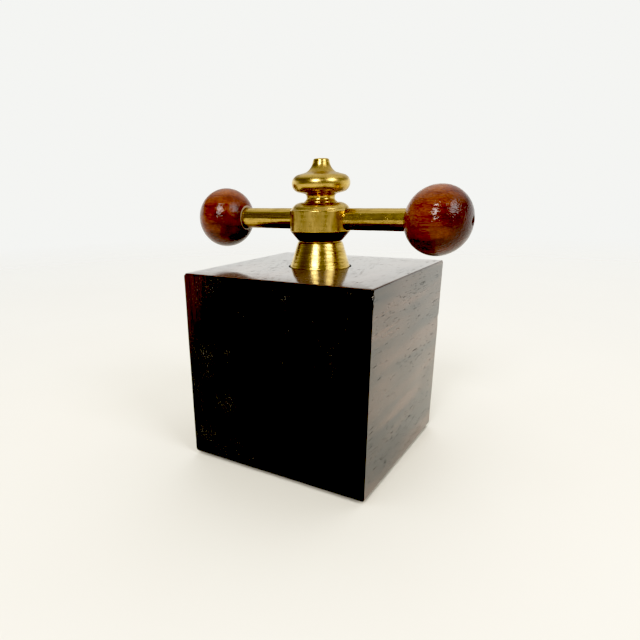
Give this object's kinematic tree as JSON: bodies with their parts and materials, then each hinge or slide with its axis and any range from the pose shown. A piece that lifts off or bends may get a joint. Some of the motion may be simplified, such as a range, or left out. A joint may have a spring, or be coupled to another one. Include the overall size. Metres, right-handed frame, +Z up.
{
  "type": "ink blotter",
  "caption": "Square hardwood block on a clamped blotting-paper sole, with a brass ferrule, hub, finial and cross handle ending in wooden balls.",
  "frame": {"origin": "centre of the paper's face, on the surface the blotter stands on, under the handle's axis", "axes": "+Z up along the handle's axis; +X along the handle's right arm; +Y across the handle"},
  "size_m": [0.0964, 0.065, 0.0988],
  "materials": {
    "rosewood": "French polished, near black",
    "ball_wood": "glossy red-brown lacquer",
    "turned_brass": "polished, lightly tarnished, with fine lathe rings",
    "washer_brass": "plain, dull",
    "bright_steel": "turned, oiled",
    "plated_steel": "dull zinc plate",
    "beech": "planed, bare",
    "felt": "pressed wool felt",
    "blotting_paper": "matt, soft, absorbent"
  },
  "bodies": {
    "block": {"block": "rosewood", "ferrule": "turned_brass", "ferrule_washer": "plated_steel", "ferrule_nut": "plated_steel", "upper_thrust_washer": "washer_brass"},
    "handle": {"spindle": "bright_steel", "hub": "turned_brass", "finial": "turned_brass", "left_arm": "turned_brass", "right_arm": "turned_brass", "left_ball": "ball_wood", "right_ball": "ball_wood", "lower_thrust_washer": "washer_brass", "retaining_ring": "bright_steel"},
    "sole": {"sole_plate": "beech", "sole_nut": "turned_brass", "sole_nut_screws": "plated_steel", "felt_pad": "felt", "blotting_paper": "blotting_paper"}
  },
  "joints": [
    {"name": "handle_turn", "type": "hinge", "parent": "block", "child": "handle", "pos_m": [0, 0, 0.065], "axis": [0, 0, 1], "range_deg": [0, 990]},
    {"name": "sole_slide", "type": "slide", "parent": "block", "child": "sole", "axis": [0, 0, -1], "range_m": [0, 0.00275]}
  ],
  "couplings": [
    {"joint": "sole_slide", "follows": "handle_turn", "m_per_rad": 0.00015915}
  ]
}
